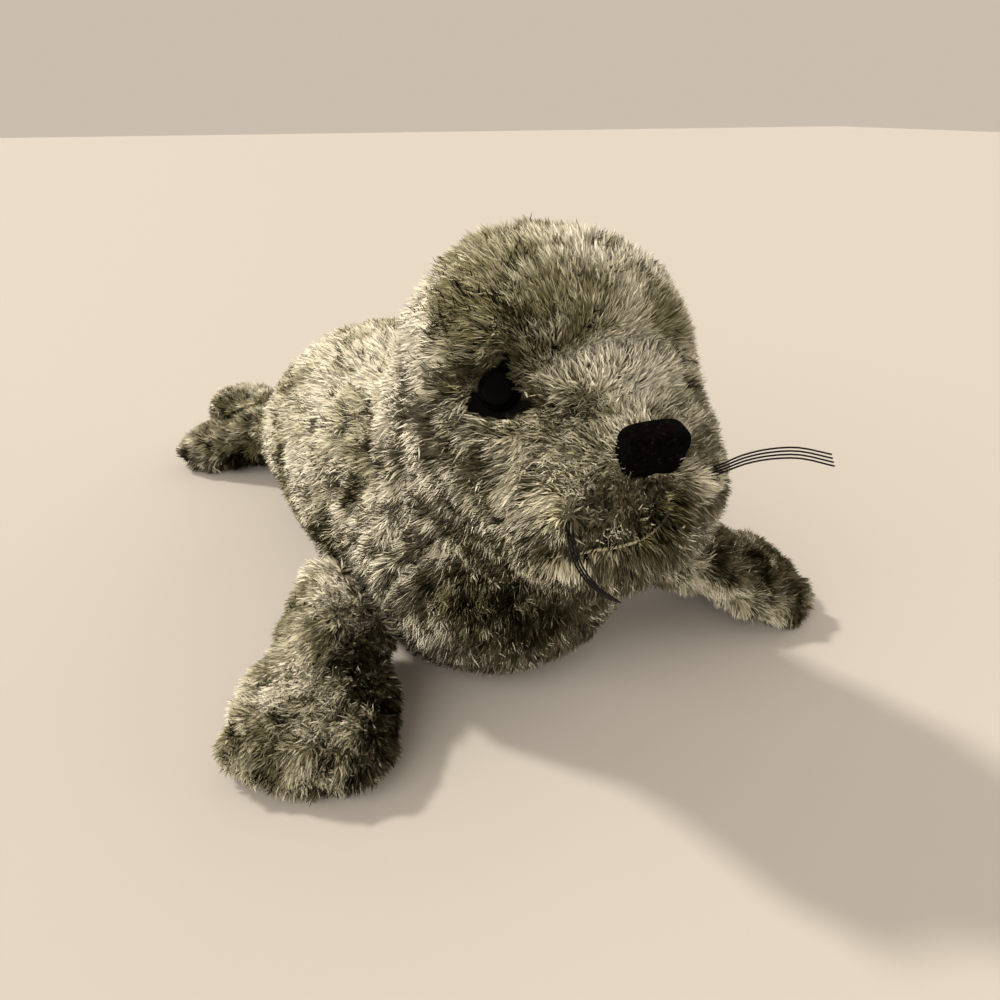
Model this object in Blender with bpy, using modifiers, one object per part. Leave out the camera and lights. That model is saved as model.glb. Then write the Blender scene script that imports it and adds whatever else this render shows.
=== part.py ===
"""A plush seal lying on its belly, head raised, facing -Y, with +Z up.

The stuffed body (head, neck and trunk) is one sewn bag, filled tight. Four stuffed
flippers are sewn on to it. Two moulded eyes are held by lock washers behind the cloth,
a velvet nose pad sits in the end of the muzzle, nylon whiskers come out of its two
sides, and a thread pulls in the line of the mouth. The outer surface of every stuffed
piece is drawn at the tips of the fur.
"""

import math

import bmesh
import bpy
import numpy as np
from mathutils import Matrix, Vector
from mathutils.bvhtree import BVHTree

# The head: skull and muzzle, each as centre (x, y, z) and half sizes (across, along, up).
SKULL_CENTRE = (0.003, 0.019, 0.129)
SKULL_HALF = (0.0525, 0.051, 0.055)
MUZZLE_CENTRE = (0.008, -0.017, 0.108)
MUZZLE_HALF = (0.043, 0.035, 0.037)
NECK_CENTRE = (0.000, 0.044, 0.098)
NECK_HALF = (0.054, 0.048, 0.056)
CHEST_CENTRE = (0.000, 0.054, 0.058)
CHEST_HALF = (0.064, 0.056, 0.066)

# The trunk is a tapering tube: (side, share of its length, height) and radius at each station.
TRUNK_START = 0.060
TRUNK_LENGTH = 0.202
TRUNK_STATIONS = (
    ((0.000, 0.000, 0.059), 0.062),
    ((-0.008, 0.248, 0.060), 0.070),
    ((-0.021, 0.495, 0.058), 0.064),
    ((-0.038, 0.743, 0.043), 0.047),
    ((-0.055, 0.931, 0.028), 0.031),
    ((-0.063, 1.000, 0.023), 0.024),
)

# Gathers round the neck, where the cloth is fuller than the filling.
FOLD_DEPTH = 0.0022
FOLD_SPACING = 0.026
FOLD_REACH = 0.050
FOLD_CENTRE = (0.000, 0.062, 0.085)
FOLD_LEAN = 0.30
FOLD_WANDER = 0.006
FOLD_WANDER_PITCH = 0.090
FOLD_FOOT = 0.030

# The front flippers: length from shoulder to tip, paddle breadth and thickness.
FRONT_LENGTH = 0.092
FRONT_BREADTH = 0.074
FRONT_THICKNESS = 0.030
FRONT_TOES = 4
RIGHT_SHOULDER = (-0.060, 0.067, 0.036)
RIGHT_TURN = math.radians(-119)
LEFT_SHOULDER = (0.066, 0.051, 0.034)
LEFT_TURN = math.radians(-12)
FRONT_DROOP = math.radians(20)

# The hind flippers lie side by side behind the tail root.
HIND_LENGTH = 0.088
HIND_BREADTH = 0.050
HIND_THICKNESS = 0.034
HIND_TOES = 3
HIND_ROOT = (-0.058, TRUNK_START + TRUNK_LENGTH - 0.008, 0.025)
RIGHT_HIND_TURN = math.radians(137)
LEFT_HIND_TURN = math.radians(112)
RIGHT_HIND_DROOP = math.radians(11)
LEFT_HIND_DROOP = math.radians(-4)

# The moulded eyes, their posts and the lock washers on them.
EYE_RADIUS = 0.0064
EYE_DOME = 0.0052
EYE_RIM = 0.0012
EYE_SINK = 0.0030
POST_RADIUS = 0.0020
POST_LENGTH = 0.0120
CLOTH = 0.0022
WASHER_RADIUS = 0.0072
WASHER_THICKNESS = 0.0013
SOCKET_MOUTH = 0.0100
RIGHT_EYE_BEARING = math.radians(-44)
LEFT_EYE_BEARING = math.radians(44)
EYE_RISE = math.radians(18)
HEAD_TURN = math.radians(-1)

# The nose pad in the end of the muzzle.
NOSE_WIDTH = 0.0225
NOSE_HEIGHT = 0.0165
NOSE_DEPTH = 0.0110
NOSE_RISE = math.radians(43)
NOSE_PROUD = 0.0028
NOSE_CAGE = 1.22
NOSE_ROOM = 0.0006

# The mouth: a crease across the muzzle, pulled in by a thread along its bottom. The line is
# (bearing, rise) in degrees round the muzzle, from the right cheek up to the fold by the nose.
MOUTH_LINE = ((-60, -18), (-48, -14), (-36, -11), (-24, -8.5), (-12, -6), (-2, -2), (6, 5), (11, 14))
MOUTH_DEPTH = 0.0045
CREASE_WIDTH = 0.0022
THREAD_RADIUS = 0.0005

# The whiskers: filament size, the pocket they are knotted in, and their own routes.
WHISKER_RADIUS = 0.00028
WHISKER_PITCH = 0.0008
POCKET_DEPTH = 0.0060
POCKET_MOUTH = 0.0040
LEFT_WHISKERS = 4
RIGHT_WHISKERS = 3
LEFT_ROOT_BEARING = math.radians(38)
LEFT_ROOT_RISE = math.radians(23)
RIGHT_ROOT_BEARING = math.radians(-45)
RIGHT_ROOT_RISE = math.radians(11)
LEFT_ROW = (0.0, 1.0, 0.0)
RIGHT_ROW = (1.0, 0.0, 0.0)
LEFT_ROUTE = (
    (0.0070, -0.0035, 0.0037),
    (0.0136, -0.0063, 0.0055),
    (0.0210, -0.0098, 0.0060),
    (0.0296, -0.0138, 0.0040),
)
RIGHT_ROUTE = (
    (-0.002, -0.005, -0.004),
    (-0.002, -0.010, -0.009),
    (0.001, -0.014, -0.014),
    (0.006, -0.017, -0.018),
)
WHISKER_FAN = 0.0012

GAP = 0.00035
BODY_VOXEL = 0.0098
FLIPPER_VOXEL = 0.0068
ROUND_STEPS = 16


def clear_scene():
    """Start from an empty scene."""
    for item in list(bpy.data.objects):
        bpy.data.objects.remove(item)


def collection(name):
    """A new collection in the scene."""
    group = bpy.data.collections.new(name)
    bpy.context.scene.collection.children.link(group)
    return group


def material(name, colour, roughness):
    """A Principled material with one colour."""
    made = bpy.data.materials.new(name)
    made.use_nodes = True
    shader = made.node_tree.nodes["Principled BSDF"]
    shader.inputs["Base Color"].default_value = (*colour, 1.0)
    shader.inputs["Roughness"].default_value = roughness
    shader.inputs["Metallic"].default_value = 0.0
    return made


def add_object(name, mesh, group, surface=None):
    """Put a mesh in the scene under a name."""
    item = bpy.data.objects.new(name, mesh)
    group.objects.link(item)
    if surface:
        mesh.materials.clear()
        mesh.materials.append(surface)
    return item


def as_cutter(item):
    """Mark an object as a guide that only cuts."""
    item.hide_render = True
    item.display_type = "WIRE"
    return item


def evaluated_mesh(item):
    """The mesh of an object with its modifiers applied, welded and in triangles."""
    bpy.context.view_layer.update()
    graph = bpy.context.evaluated_depsgraph_get()
    mesh = bpy.data.meshes.new_from_object(item.evaluated_get(graph))
    shape = bmesh.new()
    shape.from_mesh(mesh)
    bmesh.ops.remove_doubles(shape, verts=shape.verts, dist=1e-6)
    bmesh.ops.triangulate(shape, faces=shape.faces)
    shape.to_mesh(mesh)
    shape.free()
    return mesh


def frozen(item, group, surface):
    """Replace an object by its evaluated mesh."""
    name = item.name
    mesh = evaluated_mesh(item)
    mesh.transform(item.matrix_world)
    bpy.data.objects.remove(item)
    return add_object(name, mesh, group, surface)


def add_ellipsoid(shape, centre, half):
    """Add one ellipsoid to a bmesh."""
    place = Matrix.Translation(centre) @ Matrix.Diagonal((*half, 1.0))
    bmesh.ops.create_uvsphere(shape, u_segments=24, v_segments=16, radius=1.0, matrix=place)


def fused(name, shape, voxel, rounds, group):
    """Fuse a bmesh of overlapping lumps in one soft, even skin."""
    mesh = bpy.data.meshes.new(name)
    shape.to_mesh(mesh)
    shape.free()
    item = add_object(name, mesh, group)
    remesh = item.modifiers.new("fuse", "REMESH")
    remesh.mode = "VOXEL"
    remesh.voxel_size = voxel
    smooth = item.modifiers.new("soften", "SMOOTH")
    smooth.factor = 0.5
    smooth.iterations = rounds
    return item


def vertices(mesh):
    """A mesh's vertex positions as an array."""
    places = np.empty(len(mesh.vertices) * 3)
    mesh.vertices.foreach_get("co", places)
    return places.reshape(-1, 3)


def normals(mesh):
    """A mesh's vertex normals as an array."""
    directions = np.empty(len(mesh.vertices) * 3)
    mesh.vertices.foreach_get("normal", directions)
    return directions.reshape(-1, 3)


def move_vertices(mesh, places):
    """Write vertex positions back, none of them under the floor."""
    places[:, 2] = np.maximum(places[:, 2], 0.0)
    mesh.vertices.foreach_set("co", places.ravel())
    mesh.update()


def swollen_copy(item, amount, name, group):
    """A copy of an object pushed out by a small clearance, for cutting its neighbours."""
    mesh = item.data.copy()
    mesh.vertices.foreach_set("co", (vertices(mesh) + normals(mesh) * amount).ravel())
    mesh.update()
    return as_cutter(add_object(name, mesh, group))


def cut(item, cutter):
    """Take one solid away from another."""
    tool = item.modifiers.new("cut", "BOOLEAN")
    tool.operation = "DIFFERENCE"
    tool.object = cutter


def trunk_tube(group):
    """The trunk as a curve with a round section whose radius changes along it."""
    curve = bpy.data.curves.new("trunk", "CURVE")
    curve.dimensions = "3D"
    curve.bevel_depth = 1.0
    curve.bevel_resolution = 5
    curve.resolution_u = 6
    curve.use_fill_caps = True
    spline = curve.splines.new("BEZIER")
    spline.bezier_points.add(len(TRUNK_STATIONS) - 1)
    for point, ((side, share, height), radius) in zip(spline.bezier_points, TRUNK_STATIONS):
        point.co = (side, TRUNK_START + share * TRUNK_LENGTH, height)
        point.radius = radius
        point.handle_left_type = "AUTO"
        point.handle_right_type = "AUTO"
    item = bpy.data.objects.new("trunk", curve)
    group.objects.link(item)
    mesh = evaluated_mesh(item)
    bpy.data.objects.remove(item)
    return mesh


def gathers(places):
    """Height of the neck's gathers at each place.

    A cosine of the distance along the trunk, bent a little by height and side, which
    fades out with distance from the neck's middle and towards the floor.
    """
    offset = places - np.array(FOLD_CENTRE)
    wander = FOLD_WANDER * np.sin(2.0 * math.pi * offset[:, 2] / FOLD_WANDER_PITCH)
    phase = offset[:, 1] - FOLD_LEAN * offset[:, 2] + wander
    waves = np.cos(2.0 * math.pi * phase / FOLD_SPACING)
    fade = np.exp(-((offset[:, 1] / FOLD_REACH) ** 2))
    lift = np.clip(places[:, 2] / FOLD_FOOT, 0.0, 1.0)
    return FOLD_DEPTH * waves * fade * lift


def make_body(group, surface):
    """Head, neck and trunk, pressed flat where they lie on the floor."""
    shape = bmesh.new()
    shape.from_mesh(trunk_tube(group))
    add_ellipsoid(shape, SKULL_CENTRE, SKULL_HALF)
    add_ellipsoid(shape, MUZZLE_CENTRE, MUZZLE_HALF)
    add_ellipsoid(shape, NECK_CENTRE, NECK_HALF)
    add_ellipsoid(shape, CHEST_CENTRE, CHEST_HALF)
    body = frozen(fused("body", shape, BODY_VOXEL, 5, group), group, surface)
    places = vertices(body.data)
    places += normals(body.data) * gathers(places)[:, None]
    move_vertices(body.data, places)
    return body


def flipper_shape(length, breadth, thickness, toes):
    """The lumps of one flipper: an arm, a paddle and toes, laid out along +X."""
    shape = bmesh.new()
    paddle = length * 0.62
    add_ellipsoid(shape, (length * 0.24, 0.0, 0.004), (length * 0.36, breadth * 0.33, thickness * 0.62))
    add_ellipsoid(shape, (paddle, 0.0, 0.0), (length * 0.33, breadth * 0.46, thickness * 0.50))
    for toe in range(toes):
        side = (toe + 0.5) / toes * 2.0 - 1.0
        centre = (length * (0.84 - 0.10 * side * side), side * breadth * 0.40, 0.0)
        half = (length * 0.16, breadth * 0.62 / toes, thickness * 0.46)
        add_ellipsoid(shape, centre, half)
    return shape


def make_flipper(name, sizes, place, turn, droop, cutters, group, surface):
    """One flipper, drooping from its root, pressed on the floor and cut to fit."""
    length, breadth, thickness, toes = sizes
    shape = flipper_shape(length, breadth, thickness, toes)
    frame = Matrix.Translation(place) @ Matrix.Rotation(turn, 4, "Z") @ Matrix.Rotation(droop, 4, "Y")
    bmesh.ops.transform(shape, matrix=frame, verts=shape.verts)
    item = frozen(fused(name, shape, FLIPPER_VOXEL, 2, group), group, surface)
    move_vertices(item.data, vertices(item.data))
    for cutter in cutters:
        cut(item, cutter)
    return item


def turned(name, profile, place, group, surface=None, closed=False):
    """A turned piece: its profile of (radius, height) points swept round its own Z axis."""
    mesh = bpy.data.meshes.new(name)
    points = [(radius, 0.0, height) for radius, height in profile]
    edges = [(index, index + 1) for index in range(len(points) - 1)]
    if closed:
        edges.append((len(points) - 1, 0))
    mesh.from_pydata(points, edges, [])
    item = add_object(name, mesh, group, surface)
    item.matrix_world = place
    screw = item.modifiers.new("turn", "SCREW")
    screw.steps = ROUND_STEPS
    screw.render_steps = ROUND_STEPS
    screw.use_merge_vertices = True
    screw.merge_threshold = 0.00001
    return item


def bearing_direction(bearing, rise):
    """The direction at a bearing from straight ahead (+X side positive) and a rise."""
    flat = math.cos(rise)
    return Vector((math.sin(bearing) * flat, -math.cos(bearing) * flat, math.sin(rise)))


def seat(tree, centre, bearing, rise):
    """Where a line from a head centre leaves the fur, and the surface's direction there."""
    start = Vector(centre)
    aim = bearing_direction(bearing, rise)
    hit = tree.ray_cast(start + aim * 0.2, -aim)
    return hit[0], aim


def facing(place, aim):
    """A frame at a place with its Z axis along aim and its Y axis near the world's up."""
    across = Vector((0.0, 0.0, 1.0)).cross(aim).normalized()
    upward = aim.cross(across)
    frame = Matrix((across, upward, aim)).transposed().to_4x4()
    frame.translation = place
    return frame


def eye_profile():
    """Dome, rim, flat back and post, from the top of the dome down."""
    top = -EYE_SINK
    rim = top - EYE_DOME
    back = rim - EYE_RIM
    dome = [
        (EYE_RADIUS * math.sin(angle), rim + EYE_DOME * math.cos(angle))
        for angle in np.linspace(0.0, math.pi / 2.0, 7)
    ]
    tip = back - POST_LENGTH
    post = [
        (EYE_RADIUS, back),
        (POST_RADIUS, back),
        (POST_RADIUS, tip + POST_RADIUS * 0.4),
        (POST_RADIUS * 0.6, tip),
        (0.0, tip),
    ]
    return dome + post, back


def make_eye(side, bearing, tree, body, parts, cutters, looks):
    """One eye in its socket, with its lock washer behind the cloth."""
    place, aim = seat(tree, SKULL_CENTRE, bearing + HEAD_TURN, EYE_RISE)
    frame = facing(place, aim)
    profile, back = eye_profile()
    turned("eye_" + side, profile, frame, parts, looks["eye"])
    top = back - CLOTH
    base = top - WASHER_THICKNESS
    hole = POST_RADIUS + GAP
    ring = [(WASHER_RADIUS, top), (WASHER_RADIUS, base), (hole, base), (hole, top)]
    turned("eye_washer_" + side, ring, frame, parts, looks["washer"], closed=True)
    mouth = EYE_DOME + EYE_SINK
    recess = [
        (0.0, mouth),
        (SOCKET_MOUTH + mouth * 0.3, mouth),
        (EYE_RADIUS + GAP, -EYE_SINK - EYE_DOME * 0.6),
        (EYE_RADIUS + GAP, back - GAP),
        (hole, back - GAP),
        (hole, top + GAP),
        (WASHER_RADIUS + GAP, top + GAP),
        (WASHER_RADIUS + GAP, base - GAP),
        (hole, base - GAP),
        (hole, back - POST_LENGTH - GAP),
        (0.0, back - POST_LENGTH - GAP),
    ]
    cutter = as_cutter(turned("socket_" + side, recess, frame, cutters))
    cut(body, cutter)


def rounded_block(name, half, frame, group, surface=None):
    """A cube cage rounded by subdivision."""
    mesh = bpy.data.meshes.new(name)
    shape = bmesh.new()
    bmesh.ops.create_cube(shape, size=2.0, matrix=Matrix.Diagonal((*half, 1.0)))
    shape.to_mesh(mesh)
    shape.free()
    item = add_object(name, mesh, group, surface)
    item.matrix_world = frame
    rounding = item.modifiers.new("round", "SUBSURF")
    rounding.levels = 2
    rounding.render_levels = 2
    return item


def make_nose(tree, body, parts, cutters, looks):
    """The velvet nose pad, half sunk in the end of the muzzle."""
    place, aim = seat(tree, MUZZLE_CENTRE, HEAD_TURN * 0.5, NOSE_RISE)
    tilt = Vector((aim.x, aim.y, aim.z * 0.45)).normalized()
    half = Vector((NOSE_WIDTH, NOSE_HEIGHT, NOSE_DEPTH)) * 0.5 * NOSE_CAGE
    frame = facing(place + tilt * (NOSE_PROUD - NOSE_DEPTH * 0.5), tilt)
    rounded_block("nose", half, frame, parts, looks["nose"])
    room = half + Vector((NOSE_ROOM, NOSE_ROOM, NOSE_ROOM))
    cut(body, as_cutter(rounded_block("nose_seat", room, frame, cutters)))


def tube(name, points, radius, sides, group, surface=None):
    """A round tube along points, with closed ends."""
    curve = bpy.data.curves.new(name, "CURVE")
    curve.dimensions = "3D"
    curve.bevel_depth = radius
    curve.bevel_resolution = sides
    curve.use_fill_caps = True
    spline = curve.splines.new("POLY")
    spline.points.add(len(points) - 1)
    for point, place in zip(spline.points, points):
        point.co = (*place, 1.0)
    item = bpy.data.objects.new(name, curve)
    group.objects.link(item)
    if surface:
        curve.materials.append(surface)
    return item


def make_mouth(tree, body, parts, cutters, looks):
    """The mouth's crease along its line on the muzzle, and the thread along its bottom."""
    line = []
    strip = []
    bottom = MOUTH_DEPTH + THREAD_RADIUS + GAP
    for angles in smooth_route([Vector((*pair, 0.0)) for pair in MOUTH_LINE], 2):
        bearing, rise = math.radians(angles.x), math.radians(angles.y)
        place, aim = seat(tree, MUZZLE_CENTRE, HEAD_TURN + bearing, rise)
        line.append(place - aim * MOUTH_DEPTH)
        strip.append((place + aim * MOUTH_DEPTH, place - aim * bottom))
    tube("mouth_thread", line, THREAD_RADIUS, 1, parts, looks["thread"])
    for end, inner in ((0, 1), (-1, -2)):
        beyond = (line[end] - line[inner]).normalized() * GAP
        strip[end] = tuple(corner + beyond for corner in strip[end])
    mesh = bpy.data.meshes.new("mouth_crease")
    corners = [corner for pair in strip for corner in pair]
    faces = [(2 * step, 2 * step + 1, 2 * step + 3, 2 * step + 2) for step in range(len(strip) - 1)]
    mesh.from_pydata(corners, [], faces)
    crease = as_cutter(add_object("mouth_crease", mesh, cutters))
    wall = crease.modifiers.new("width", "SOLIDIFY")
    wall.thickness = CREASE_WIDTH
    wall.offset = 0.0
    cut(body, crease)


def smooth_route(points, steps):
    """Points read evenly from a smooth curve through a few chosen ones."""
    chain = [points[0] * 2.0 - points[1]] + points + [points[-1] * 2.0 - points[-2]]
    route = []
    for index in range(1, len(chain) - 2):
        before, here, there, after = chain[index - 1:index + 3]
        for step in range(steps):
            t = step / steps
            route.append(0.5 * (
                here * 2.0 + (there - before) * t
                + (before * 2.0 - here * 5.0 + there * 4.0 - after) * t * t
                + (here * 3.0 - before - there * 3.0 + after) * t * t * t
            ))
    route.append(points[-1])
    return route


def make_whiskers(side, count, bearing, rise, row_aim, route, tree, body, parts, cutters, looks):
    """One bundle of nylon filaments, rooted in a row in a pocket in the muzzle."""
    root, aim = seat(tree, MUZZLE_CENTRE, bearing + HEAD_TURN, rise)
    frame = facing(root, aim)
    floor = -POCKET_DEPTH
    room = 0.5 * (count - 1) * WHISKER_PITCH + WHISKER_RADIUS + GAP
    well = [(0.0, POCKET_MOUTH), (room, POCKET_MOUTH), (room, floor), (0.0, floor)]
    cut(body, as_cutter(turned("whisker_pocket_" + side, well, frame, cutters)))
    for index in range(count):
        rank = index - 0.5 * (count - 1)
        aside = Vector(row_aim) * rank
        row = aside * WHISKER_PITCH
        start = frame @ (row + Vector((0.0, 0.0, floor + GAP)))
        outlet = frame @ (row + Vector((0.0, 0.0, 0.001)))
        points = [start, outlet]
        for stage, offset in enumerate(route):
            share = (stage + 1) / len(route)
            apart = WHISKER_PITCH + (WHISKER_FAN - WHISKER_PITCH) * share
            points.append(root + Vector(offset) + frame.to_3x3() @ aside * apart)
        name = "whisker_" + side + "_" + str(index + 1)
        tube(name, smooth_route(points, 3), WHISKER_RADIUS, 1, parts, looks["nylon"])


def centre_on_floor(parts):
    """Move the whole seal so that the origin is under the middle of its box."""
    bpy.context.view_layer.update()
    graph = bpy.context.evaluated_depsgraph_get()
    corners = []
    for item in parts.objects:
        mesh = bpy.data.meshes.new_from_object(item.evaluated_get(graph))
        places = vertices(mesh)
        frame = np.array(item.matrix_world)
        places = places @ frame[:3, :3].T + frame[:3, 3]
        corners += [places.min(axis=0), places.max(axis=0)]
        bpy.data.meshes.remove(mesh)
    low = np.min(corners, axis=0)
    high = np.max(corners, axis=0)
    middle = (low + high) / 2.0
    shift = Matrix.Translation((-middle[0], -middle[1], -low[2]))
    for item in bpy.data.objects:
        item.matrix_world = shift @ item.matrix_world


def build():
    """Make the whole seal."""
    clear_scene()
    parts = collection("plush_seal")
    cutters = collection("cutters")
    looks = {
        "fur": material("mottled_fur", (0.36, 0.33, 0.24), 0.95),
        "dark_fur": material("dark_fur", (0.20, 0.19, 0.14), 0.95),
        "eye": material("black_eye", (0.010, 0.009, 0.008), 0.08),
        "washer": material("white_plastic", (0.75, 0.74, 0.70), 0.45),
        "nose": material("black_velvet", (0.012, 0.011, 0.011), 0.9),
        "nylon": material("black_nylon", (0.012, 0.012, 0.013), 0.25),
        "thread": material("pale_thread", (0.50, 0.46, 0.36), 0.8),
    }
    body = make_body(parts, looks["fur"])
    tree = BVHTree.FromPolygons(
        [vertex.co.copy() for vertex in body.data.vertices],
        [tuple(face.vertices) for face in body.data.polygons],
    )
    around_body = swollen_copy(body, GAP, "body_clearance", cutters)
    front = (FRONT_LENGTH, FRONT_BREADTH, FRONT_THICKNESS, FRONT_TOES)
    hind = (HIND_LENGTH, HIND_BREADTH, HIND_THICKNESS, HIND_TOES)
    make_flipper("front_flipper_right", front, RIGHT_SHOULDER, RIGHT_TURN, FRONT_DROOP,
                 [around_body], parts, looks["dark_fur"])
    make_flipper("front_flipper_left", front, LEFT_SHOULDER, LEFT_TURN, FRONT_DROOP,
                 [around_body], parts, looks["dark_fur"])
    near_hind = make_flipper("hind_flipper_right", hind, HIND_ROOT, RIGHT_HIND_TURN, RIGHT_HIND_DROOP,
                             [around_body], parts, looks["dark_fur"])
    around_near = swollen_copy(near_hind, GAP, "hind_clearance", cutters)
    make_flipper("hind_flipper_left", hind, HIND_ROOT, LEFT_HIND_TURN, LEFT_HIND_DROOP,
                 [around_body, around_near], parts, looks["dark_fur"])
    make_eye("right", RIGHT_EYE_BEARING, tree, body, parts, cutters, looks)
    make_eye("left", LEFT_EYE_BEARING, tree, body, parts, cutters, looks)
    make_nose(tree, body, parts, cutters, looks)
    make_mouth(tree, body, parts, cutters, looks)
    make_whiskers("left", LEFT_WHISKERS, LEFT_ROOT_BEARING, LEFT_ROOT_RISE, LEFT_ROW, LEFT_ROUTE,
                  tree, body, parts, cutters, looks)
    make_whiskers("right", RIGHT_WHISKERS, RIGHT_ROOT_BEARING, RIGHT_ROOT_RISE, RIGHT_ROW, RIGHT_ROUTE,
                  tree, body, parts, cutters, looks)
    centre_on_floor(parts)


build()
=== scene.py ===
import math

import bmesh
import bpy
import numpy as np
from mathutils import Matrix, Vector


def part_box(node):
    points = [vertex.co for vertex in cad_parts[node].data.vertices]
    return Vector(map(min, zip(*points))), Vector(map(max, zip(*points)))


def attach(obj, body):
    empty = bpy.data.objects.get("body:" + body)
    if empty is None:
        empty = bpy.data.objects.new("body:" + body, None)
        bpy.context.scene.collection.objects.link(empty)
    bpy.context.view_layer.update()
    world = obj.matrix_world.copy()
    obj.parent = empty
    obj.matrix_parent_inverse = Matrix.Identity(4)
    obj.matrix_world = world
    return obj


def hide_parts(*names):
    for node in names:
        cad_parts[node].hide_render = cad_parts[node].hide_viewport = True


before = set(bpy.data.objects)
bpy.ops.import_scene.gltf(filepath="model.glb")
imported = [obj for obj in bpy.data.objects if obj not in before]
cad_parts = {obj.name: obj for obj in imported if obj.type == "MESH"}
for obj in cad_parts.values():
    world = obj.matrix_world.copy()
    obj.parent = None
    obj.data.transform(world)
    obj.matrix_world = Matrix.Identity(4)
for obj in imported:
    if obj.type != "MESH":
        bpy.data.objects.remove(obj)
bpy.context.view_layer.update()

# Camera: a phone's main lens, held close over the toy's right shoulder and looking down at the head.
# Its place and angles are those at which the model lies over the photograph.
camera_place = Vector((-0.1124, -0.3369, 0.215))
camera_azimuth = math.radians(-22)
camera_elevation = math.radians(28)
lens = bpy.data.cameras.new("camera")
lens.lens = 27.0
lens.sensor_width = 36.0
lens.clip_start = 0.01
camera = bpy.data.objects.new("camera", lens)
bpy.context.collection.objects.link(camera)
back = Vector((
    math.sin(camera_azimuth) * math.cos(camera_elevation),
    -math.cos(camera_azimuth) * math.cos(camera_elevation),
    math.sin(camera_elevation),
))
side = Vector((math.cos(camera_azimuth), math.sin(camera_azimuth), 0.0))
camera_turn = Matrix((side, back.cross(side), back)).transposed().to_4x4()
camera.matrix_world = Matrix.Translation(camera_place) @ camera_turn
bpy.context.scene.camera = camera
bpy.context.scene.view_settings.view_transform = "Standard"


# Floor and light: a pale matt sheet and three far, warm lamps. The key stands high behind the seal's
# right side, a wide fill in front of it on the right, and a weaker one low on the left.
class Value:
    """One number socket of a material, on which plain arithmetic adds Math nodes."""

    def __init__(self, finish, socket):
        self.finish = finish
        self.socket = socket

    def join(self, operation, first, second):
        node = self.finish.add("ShaderNodeMath", {"operation": operation}, {0: first, 1: second})
        return Value(self.finish, node.outputs[0])

    def __add__(self, other):
        return self.join("ADD", self, other)

    def __radd__(self, other):
        return self.join("ADD", other, self)

    def __sub__(self, other):
        return self.join("SUBTRACT", self, other)

    def __rsub__(self, other):
        return self.join("SUBTRACT", other, self)

    def __mul__(self, other):
        return self.join("MULTIPLY", self, other)

    def __rmul__(self, other):
        return self.join("MULTIPLY", other, self)

    def __pow__(self, other):
        return self.join("POWER", self, other)


class Finish:
    """One material, its fixed shader values, and the one way that nodes are added to it."""

    def __init__(self, name, fixed):
        self.material = bpy.data.materials.new(name)
        self.material.use_nodes = True
        self.tree = self.material.node_tree
        self.shader = self.tree.nodes["Principled BSDF"]
        for socket, value in fixed.items():
            self.shader.inputs[socket].default_value = value

    def add(self, kind, settings=None, inputs=None):
        """A node of a kind, with its settings made first and then its sockets' values or links."""
        node = self.tree.nodes.new(kind)
        for setting, value in (settings or {}).items():
            if setting == "stops":
                ramp = node.color_ramp
                while len(ramp.elements) < len(value):
                    ramp.elements.new(1.0)
                for element, (place, colour) in zip(ramp.elements, value):
                    element.position = place
                    element.color = (*colour, 1.0)
            else:
                setattr(node, setting, value)
        for socket, value in (inputs or {}).items():
            self.feed(node.inputs[socket], value)
        return node

    def feed(self, socket, value):
        """Link or set one socket."""
        if isinstance(value, Value):
            value = value.socket
        if isinstance(value, bpy.types.NodeSocket):
            self.tree.links.new(value, socket)
        else:
            socket.default_value = value

    def noise(self, scale, detail, place=None):
        """Fractal noise on object coordinates, as a Value."""
        if place is None:
            place = self.add("ShaderNodeTexCoord").outputs["Object"]
        node = self.add("ShaderNodeTexNoise", {}, {"Vector": place, "Scale": scale, "Detail": detail})
        return Value(self, node.outputs["Fac"])

    def bump(self, height, strength, distance):
        """Feed the shader's normal from a height."""
        node = self.add("ShaderNodeBump", {}, {"Height": height, "Strength": strength, "Distance": distance})
        self.feed(self.shader.inputs["Normal"], node.outputs["Normal"])


def add_piece(name, mesh, finish, body="root"):
    """Put a finished mesh in the scene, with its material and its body."""
    piece = bpy.data.objects.new(name, mesh)
    bpy.context.collection.objects.link(piece)
    mesh.materials.clear()
    mesh.materials.append(finish.material)
    if body:
        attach(piece, body)
    return piece


floor_half = 6.0
floor_mesh = bpy.data.meshes.new("floor")
floor_corners = [
    (-floor_half, -floor_half, 0), (floor_half, -floor_half, 0),
    (floor_half, floor_half, 0), (-floor_half, floor_half, 0),
]
floor_mesh.from_pydata(floor_corners, [], [(0, 1, 2, 3)])
sheet = Finish("pale_floor", {"Base Color": (0.475, 0.454, 0.429, 1.0), "Roughness": 0.85})
floor = add_piece("floor", floor_mesh, sheet, body=None)


def add_sun(name, place, angle, power, colour):
    """A far lamp, as wide as its angle in degrees, that shines from the way of a place."""
    lamp = bpy.data.lights.new(name, "SUN")
    lamp.angle = math.radians(angle)
    lamp.energy = power
    lamp.color = colour
    holder = bpy.data.objects.new(name, lamp)
    holder.rotation_euler = (-Vector(place)).to_track_quat("-Z", "Y").to_euler()
    holder.visible_glossy = angle < 30.0
    bpy.context.collection.objects.link(holder)


add_sun("key", (-0.45, 0.50, 0.74), 6.0, 2.5, (1.0, 0.90, 0.76))
add_sun("fill", (-0.78, -0.48, 0.40), 70.0, 2.9, (1.0, 0.92, 0.82))
add_sun("side_fill", (0.80, 0.10, 0.30), 80.0, 1.1, (1.0, 0.92, 0.82))
world = bpy.data.worlds.new("studio")
world.use_nodes = True
world.node_tree.nodes["Background"].inputs["Color"].default_value = (0.98, 0.86, 0.70, 1.0)
world.node_tree.nodes["Background"].inputs["Strength"].default_value = 0.60
bpy.context.scene.world = world

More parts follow.
